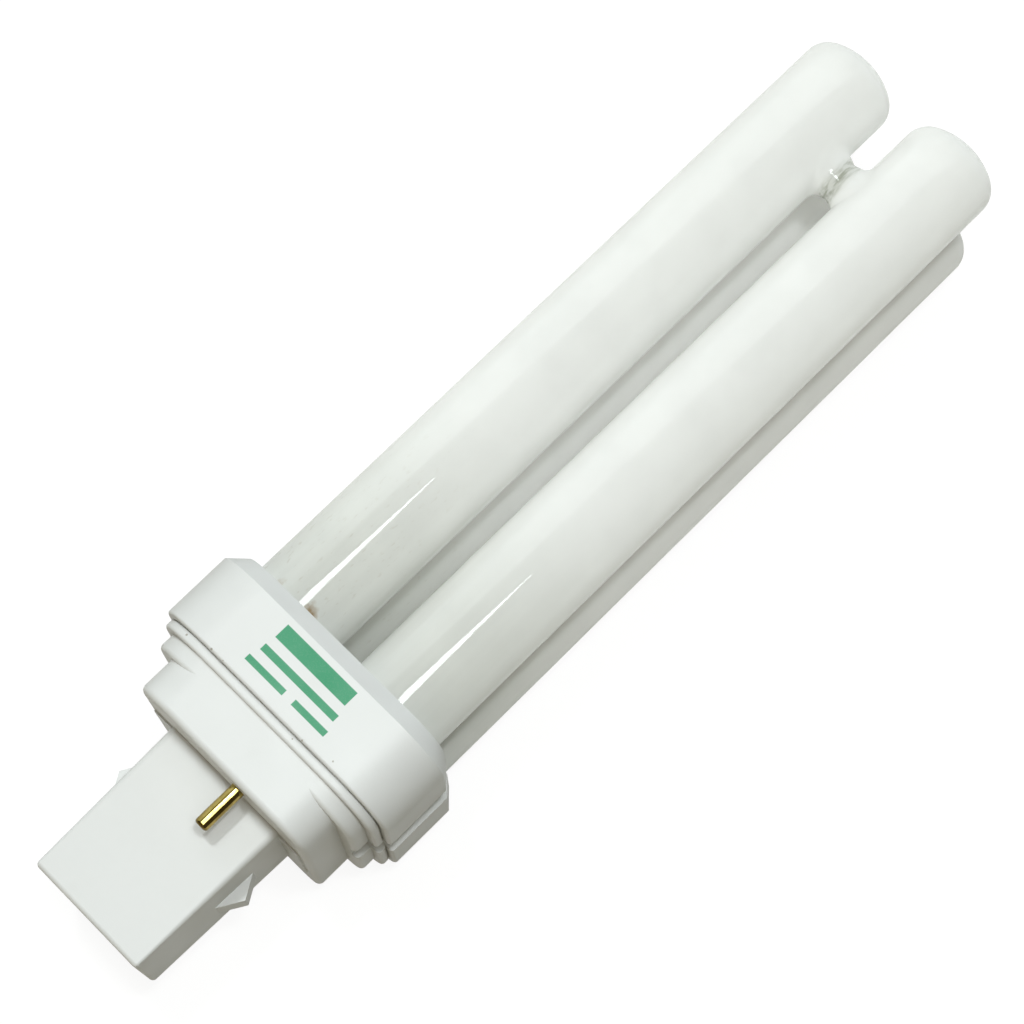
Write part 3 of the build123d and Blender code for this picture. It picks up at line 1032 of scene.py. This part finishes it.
    def draw_out(self, shape: Shape, limb: list[Any], axis: Vector, bridge: Bridge) -> list[Any]:
        """Draws a limb's wall out into half a bridge and cuts it off at the weld.

        Args:
            shape: Mesh that holds the limb.
            limb: The limb's vertices, edges and faces.
            axis: A point on the limb's axis.
            bridge: Bridge that the wall is drawn out for.

        Returns:
            What the limb is made of afterwards.
        """
        radius, neck, flare = self.limb_radius * MM, self.bridge_radius * MM, self.bridge_flare * MM
        towards = bridge.direction(axis)
        gap, rim = bridge.half_pitch - radius, neck + flare
        for vert in limb:
            if not isinstance(vert, Vert):
                continue
            off = vert.co - bridge.middle
            along = off.dot(towards)
            side = off - along * towards
            if along < -bridge.half_pitch or not 0 < side.length < rim:
                continue
            # The wall keeps its length as it turns from the limb into the neck
            run = rim - side.length
            turn = min(run / flare, math.pi / 2)
            height = flare * (1 - math.cos(turn)) + max(0.0, run - flare * math.pi / 2)
            wide = rim - flare * math.sin(turn)
            wide -= self.weld_dip * MM * math.exp(-(((gap - height) / (self.weld_half_width * MM)) ** 2))
            side = side.normalized() * wide
            across = math.hypot(side.y, side.z)
            drop = radius - math.sqrt(radius**2 - across**2)
            along = height - gap - drop * max(0.0, 1 - height / gap)
            vert.co = bridge.middle + side + along * towards
        trimmed = bmesh.ops.bisect_plane(
            shape, geom=limb, dist=CUT_GAP, plane_co=bridge.middle, plane_no=towards, clear_outer=True
        )
        return [part for part in trimmed["geom"] if part.is_valid]

    def mark_welds(self, shape: Shape) -> None:
        """Stores each vertex's distance from the nearest weld.

        Args:
            shape: The whole tube.
        """
        from_weld = shape.verts.layers.float.new(FROM_WELD)
        rim = (self.bridge_radius + self.bridge_flare) * MM
        for vert in shape.verts:
            vert[from_weld] = rim
            for bridge in self.bridges():
                off = vert.co - bridge.middle
                along = abs(off.dot(bridge.run.value))
                if off.length < rim:
                    vert[from_weld] = min(vert[from_weld], along)


@dataclass
class Base:
    """Collar and base cap, kept from the CAD model and dressed; stations in millimetres."""

    joint_x: float = -48.15
    bead_x: float = -49.75
    bars: tuple[Bar, ...] = (
        Bar(x=-39.25, y=0.1, length=13.8, height=2.5),
        Bar(x=-42.6, y=0.0, length=14.5, height=1.15),
        Bar(x=-45.1, y=4.1, length=7.4, height=1.0),
        Bar(x=-45.1, y=-4.6, length=6.4, height=1.0),
    )
    collar_specks: tuple[Speck, ...] = (
        Speck(x=-47.0, y=-11.2, radius=0.16),
        Speck(x=-47.9, y=12.0, radius=0.2),
        Speck(x=-47.9, y=9.7, radius=0.12),
        Speck(x=-47.95, y=-6.1, radius=0.18),
    )
    cap_specks: tuple[Speck, ...] = (
        Speck(x=-48.8, y=16.3, radius=0.2),
        Speck(x=-48.7, y=-4.9, radius=0.14),
    )

    def dress(self, nodes: dict[str, Piece]) -> list[Piece]:
        """Dresses the two mouldings.

        Args:
            nodes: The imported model's nodes.

        Returns:
            The mouldings.
        """
        collar = SatinPolyester(
            name="satin_polyester_collar", joints=(self.joint_x,), bars=self.bars, specks=self.collar_specks
        )
        cap = SatinPolyester(
            name="satin_polyester_cap", joints=(self.joint_x, self.bead_x), specks=self.cap_specks
        )
        dress(nodes["tube_collar"], collar.material())
        dress(nodes["base_cap"], cap.material())
        return [nodes["tube_collar"], nodes["base_cap"]]


@dataclass
class Contacts:
    """The two contact pins."""

    brass: Finish = DrawnBrass()

    def dress(self, nodes: dict[str, Piece]) -> list[Piece]:
        """Dresses the pins.

        Args:
            nodes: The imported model's nodes.

        Returns:
            The pins.
        """
        pins = [nodes["contact_pin_front"], nodes["contact_pin_rear"]]
        metal = self.brass.material()
        for pin in pins:
            dress(pin, metal)
        return pins


@dataclass
class Starter:
    """Starter bottle, capacitor and wires shut inside the base."""

    bottle: Finish = ClearSodaGlass(name="starter_bottle_glass", tint="#D9E2E0")
    case: Finish = DippedEpoxy()
    wire: Finish = TinnedCopper()

    def dress(self, nodes: dict[str, Piece]) -> list[Piece]:
        """Dresses the inner pieces.

        Args:
            nodes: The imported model's nodes.

        Returns:
            The inner pieces.
        """
        dress(nodes["starter_bottle"], self.bottle.material())
        dress(nodes["starter_capacitor"], self.case.material())
        wire = self.wire.material()
        leads = [nodes[name] for name in sorted(nodes) if "_lead_" in name]
        for lead in leads:
            dress(lead, wire)
        return [nodes["starter_bottle"], nodes["starter_capacitor"], *leads]


@dataclass(frozen=True)
class SoftBox:
    """A flat soft light that faces down; millimetres and degrees, brightness against white at 1."""

    name: str
    centre: Place
    size: Span
    brightness: float
    turn: float = 0.0
    colour: str = "#F9FFFF"

    def hang(self) -> None:
        """Hangs the light where the camera can't see it."""
        light = bpy.data.lights.new(self.name, "AREA")
        light.shape = "RECTANGLE"
        light.size, light.size_y = self.size[0] * MM, self.size[1] * MM
        light.color = linear(self.colour)[:3]
        light.energy = self.brightness * math.pi * light.size * light.size_y
        lamp = add_object(self.name, light)
        lamp.location = Vector(self.centre) * MM
        lamp.rotation_euler = (0, 0, math.radians(self.turn))
        lamp.visible_camera = False


@dataclass
class Studio:
    """White paper, a warm room with a bright window wall and soft lights overhead.

    The window wall ends, and the room in front and behind begins, at shares of the way along X.
    """

    floor_size: float = 6000.0
    paper: str = "#868471"
    mirrored_paper: str = "#A8A8A5"
    mirrored_level: float = 0.55
    room: str = "#FFEFC9"
    room_level: float = 0.11
    front_level: float = 0.4
    front_end: Span = (-0.7, -0.5)
    back_level: float = 0.42
    back_start: Span = (0.5, 0.6)
    window: str = "#F8FFFD"
    window_level: float = 1.3
    window_side: Place = (0.854, 0.378, -0.359)
    window_edge: float = 0.008
    window_end: Span = (0.4, 0.5)
    seen_level: float = 0.9
    seen_shade: float = 0.16
    lights: tuple[SoftBox, ...] = (
        SoftBox("overhead_box", centre=(21, -87, 622), size=(120, 120), brightness=12, turn=36),
        SoftBox("right_spot", centre=(18, -81, 622), size=(40, 40), brightness=132),
        SoftBox("left_spot", centre=(-15, 110, 622), size=(40, 40), brightness=164),
        SoftBox("strip_light", centre=(-40, -25, 622), size=(40, 560), brightness=10.9),
    )

    def build(self) -> None:
        """Lays the paper, lights the room and hangs the lights."""
        self.lay_paper()
        self.light_room()
        for light in self.lights:
            light.hang()

    def lay_paper(self) -> None:
        """Lays white paper under the lamp, white to the eye and still holding its shadow."""
        shape = bmesh.new()
        bmesh.ops.create_grid(shape, x_segments=1, y_segments=1, size=self.floor_size / 2 * MM)
        floor = add_shape("paper", shape)
        made = bpy.data.materials.new("matt_paper")
        tree = empty_tree(made)
        path = add_node(tree, "ShaderNodeLightPath").outputs
        bounce = add_node(tree, "ShaderNodeBsdfDiffuse", {"Color": linear(self.paper)}).outputs[0]
        sheets = []
        for level, colour in (
            (self.mirrored_level, linear(self.mirrored_paper)),
            (self.seen_level, (*[self.seen_shade] * 3, 1)),
        ):
            glow = add_node(tree, "ShaderNodeEmission", {"Strength": level}).outputs[0]
            shade = add_node(tree, "ShaderNodeBsdfDiffuse", {"Color": colour}).outputs[0]
            sheets.append(add_node(tree, "ShaderNodeAddShader", {0: glow, 1: shade}).outputs[0])
        seen = add_node(
            tree,
            "ShaderNodeMath",
            {0: path["Is Camera Ray"], 1: path["Is Transmission Ray"]},
            operation="MAXIMUM",
        ).outputs[0]
        surface = bounce
        for share, sheet in zip((path["Is Glossy Ray"], seen), sheets):
            surface = add_node(tree, "ShaderNodeMixShader", {0: share, 1: surface, 2: sheet}).outputs[0]
        add_node(tree, "ShaderNodeOutputMaterial", {"Surface": surface})
        dress(floor, made)

    def light_room(self) -> None:
        """Makes the room dim but for its window wall, and shows it white to the camera."""
        world = bpy.data.worlds.new("room")
        tree = empty_tree(world)
        way = add_node(tree, "ShaderNodeTexCoord").outputs["Generated"]
        facing = add_node(
            tree, "ShaderNodeVectorMath", {0: way, 1: self.window_side}, operation="DOT_PRODUCT"
        ).outputs["Value"]
        wall = add_node(
            tree,
            "ShaderNodeMapRange",
            {"Value": facing, "From Min": -self.window_edge, "From Max": self.window_edge},
        ).outputs[0]
        ahead = add_node(tree, "ShaderNodeSeparateXYZ", {0: way}).outputs["X"]
        beside, level, behind = (
            add_node(
                tree,
                "ShaderNodeMapRange",
                {"Value": ahead, "From Min": start, "From Max": end, "To Min": before, "To Max": after},
            ).outputs[0]
            for (start, end), before, after in (
                (self.window_end, 1.0, 0.0),
                (self.front_end, self.front_level, self.room_level),
                (self.back_start, 0.0, 1.0),
            )
        )
        window = add_node(tree, "ShaderNodeMath", {0: wall, 1: beside}, operation="MULTIPLY").outputs[0]
        camera = add_node(tree, "ShaderNodeLightPath").outputs["Is Camera Ray"]
        surface = add_node(
            tree, "ShaderNodeBackground", {"Color": linear(self.room), "Strength": level}
        ).outputs[0]
        for share, colour, strength in (
            (behind, linear(self.window), self.back_level),
            (window, linear(self.window), self.window_level),
            (camera, WHITE, 1.0),
        ):
            light = add_node(
                tree, "ShaderNodeBackground", {"Color": colour, "Strength": strength}
            ).outputs[0]
            surface = add_node(tree, "ShaderNodeMixShader", {0: share, 1: surface, 2: light}).outputs[0]
        add_node(tree, "ShaderNodeOutputWorld", {"Surface": surface})
        bpy.context.scene.world = world


@dataclass
class Viewpoint:
    """Camera at the photograph's place; millimetres, pixels of a 1024-pixel picture, clips in metres."""

    place: Place = (-75.62, -75.32, 394.56)
    forward: Place = (0.1947, 0.1970, -0.9609)
    up: Place = (0.6815, 0.6774, 0.2770)
    focal_pixels: float = 2600.0
    picture_pixels: float = 1024.0
    sensor_width: float = 36.0
    clips: Span = (0.01, 50.0)

    def set_up(self) -> None:
        """Makes the camera and gives it to the scene."""
        lens = bpy.data.cameras.new("camera")
        lens.sensor_fit = "HORIZONTAL"
        lens.sensor_width = self.sensor_width
        lens.lens = self.sensor_width * self.focal_pixels / self.picture_pixels
        lens.clip_start, lens.clip_end = self.clips
        ahead = Vector(self.forward).normalized()
        right = ahead.cross(Vector(self.up)).normalized()
        top = right.cross(ahead)
        turn = Matrix((right, top, -ahead)).transposed().to_4x4()
        camera = add_object("camera", lens)
        camera.matrix_world = Matrix.Translation(Vector(self.place) * MM) @ turn
        bpy.context.scene.camera = camera


def main() -> None:
    """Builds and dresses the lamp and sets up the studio."""
    logging.basicConfig(level=logging.INFO, format="%(name)s: %(message)s")
    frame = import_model()
    nodes = frame["nodes"]
    pieces = DischargeTube().build()
    pieces += Base().dress(nodes)
    pieces += Contacts().dress(nodes)
    pieces += Starter().dress(nodes)
    for piece in pieces:
        finish = piece.material_slots[0].material.name
        log.info("%s: %d faces, %s", piece.name, len(piece.data.polygons), finish)
    Studio().build()
    Viewpoint().set_up()
    bpy.context.scene.view_settings.view_transform = "Standard"


if __name__ == "__main__":
    main()
